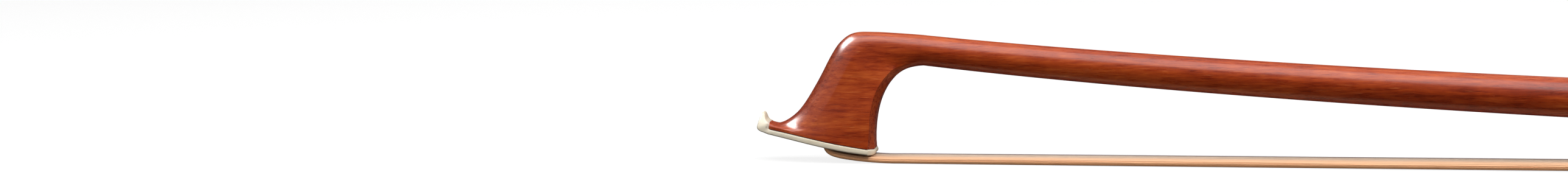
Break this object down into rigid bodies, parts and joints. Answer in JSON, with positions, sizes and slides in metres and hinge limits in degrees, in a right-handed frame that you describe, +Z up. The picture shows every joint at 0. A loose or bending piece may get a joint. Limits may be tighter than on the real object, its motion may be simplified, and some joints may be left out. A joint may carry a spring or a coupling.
{
  "type": "violin bow",
  "caption": "Violin bow: cambered wooden stick with a pointed head, pale head plate, flat hank of horsehair, ebony frog with silver ferrule, wound grip and turning button.",
  "frame": {"origin": "half way along the bow, on its mid plane, level with the lowest line of the hair", "axes": "+X from the head towards the button, +Z up with the hair underneath, +Y across the hair"},
  "size_m": [0.7412, 0.013, 0.0286],
  "materials": {
    "pernambuco": "polished",
    "bone": "polished bone",
    "ebony": "polished",
    "liner_black": "satin",
    "horsehair": "straight strands",
    "tied_thread": "wound thread",
    "plug_wood": "bare",
    "silver": "polished silver",
    "pearl": "mother of pearl",
    "leather": "grained",
    "silk": "wound thread",
    "steel": "plain",
    "brass": "plain"
  },
  "bodies": {
    "stick": {"stick": "pernambuco", "tip_plate": "bone", "tip_liner": "liner_black", "tip_plug": "plug_wood", "tip_hair_knot": "tied_thread", "hair": "horsehair", "leather_grip": "leather", "silk_lapping": "silk", "tinsel_spiral": "silver"},
    "frog": {"frog_block": "ebony", "underslide": "silver", "ferrule": "silver", "ferrule_wedge": "plug_wood", "frog_plug": "plug_wood", "frog_hair_knot": "tied_thread", "pearl_slide": "pearl", "slide_backing": "ebony", "heel_plate_upper": "silver", "heel_plate_lower": "silver", "heel_pin_upper": "silver", "heel_pin_middle": "silver", "heel_pin_lower": "silver", "heel_pin_foot": "silver", "pearl_eye_left": "pearl", "pearl_eye_right": "pearl", "eye_ring_left": "silver", "eye_ring_right": "silver", "eyelet": "brass"},
    "screw": {"screw": "steel", "button_core": "ebony", "button_ring_front": "silver", "button_ring_rear": "silver", "button_eye": "pearl"}
  },
  "joints": [
    {"name": "frog_slide", "type": "slide", "parent": "stick", "child": "frog", "axis": [0.999, 0, 0.0451], "range_m": [-0.0042, 0.0021], "deforming": ["hair"]},
    {"name": "button_turn", "type": "hinge", "parent": "stick", "child": "screw", "pos_m": [0.35805, 0, 0.02376], "axis": [-0.999, 0, -0.0451], "range_deg": [-2162, 1082]}
  ],
  "couplings": [
    {"joint": "button_turn", "follows": "frog_slide", "rad_per_m": 8976}
  ]
}
